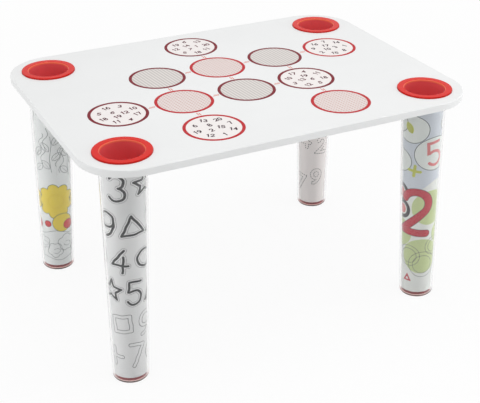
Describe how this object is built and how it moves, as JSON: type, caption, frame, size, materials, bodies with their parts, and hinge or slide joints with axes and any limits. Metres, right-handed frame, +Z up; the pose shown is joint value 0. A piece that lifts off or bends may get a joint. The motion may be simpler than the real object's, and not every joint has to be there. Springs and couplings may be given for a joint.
{
  "type": "kids table",
  "caption": "Low play table for children: white board with rounded corners, clear tapered legs that hold printed cards, and red storage cups set into the board over the legs.",
  "frame": {"origin": "on the floor under the middle of the board", "axes": "+Z up, +X along the board's length to the right as seen from the front, +Y towards the back"},
  "size_m": [0.8, 0.59, 0.473],
  "materials": {
    "board_lacquer": "white lacquered fibreboard, satin, with a printed top",
    "clear_plastic": "clear moulded plastic, polished",
    "ring_plastic": "pale grey moulded plastic, matt",
    "red_plastic": "red moulded plastic, glossy",
    "disc_plastic": "dark red moulded plastic, satin",
    "printed_card": "white printed card, matt",
    "pad_rubber": "dark non-slip rubber, matt"
  },
  "bodies": {
    "table": {"tabletop": "board_lacquer", "leg_front_left": "clear_plastic", "leg_front_right": "clear_plastic", "leg_back_left": "clear_plastic", "leg_back_right": "clear_plastic", "clamp_ring_front_left": "ring_plastic", "clamp_ring_front_right": "ring_plastic", "clamp_ring_back_left": "ring_plastic", "clamp_ring_back_right": "ring_plastic", "print_card_front_left": "printed_card", "print_card_front_right": "printed_card", "print_card_back_left": "printed_card", "print_card_back_right": "printed_card", "base_disc_front_left": "disc_plastic", "base_disc_front_right": "disc_plastic", "base_disc_back_left": "disc_plastic", "base_disc_back_right": "disc_plastic", "foot_pad_front_left": "pad_rubber", "foot_pad_front_right": "pad_rubber", "foot_pad_back_left": "pad_rubber", "foot_pad_back_right": "pad_rubber"},
    "cup_front_left": {"cup_front_left": "red_plastic"},
    "cup_front_right": {"cup_front_right": "red_plastic"},
    "cup_back_left": {"cup_back_left": "red_plastic"},
    "cup_back_right": {"cup_back_right": "red_plastic"}
  },
  "joints": [
    {"name": "cup_front_left_lift", "type": "slide", "parent": "table", "child": "cup_front_left", "axis": [0, 0, 1], "range_m": [0, 0.12]},
    {"name": "cup_front_right_lift", "type": "slide", "parent": "table", "child": "cup_front_right", "axis": [0, 0, 1], "range_m": [0, 0.12]},
    {"name": "cup_back_left_lift", "type": "slide", "parent": "table", "child": "cup_back_left", "axis": [0, 0, 1], "range_m": [0, 0.12]},
    {"name": "cup_back_right_lift", "type": "slide", "parent": "table", "child": "cup_back_right", "axis": [0, 0, 1], "range_m": [0, 0.12]}
  ]
}
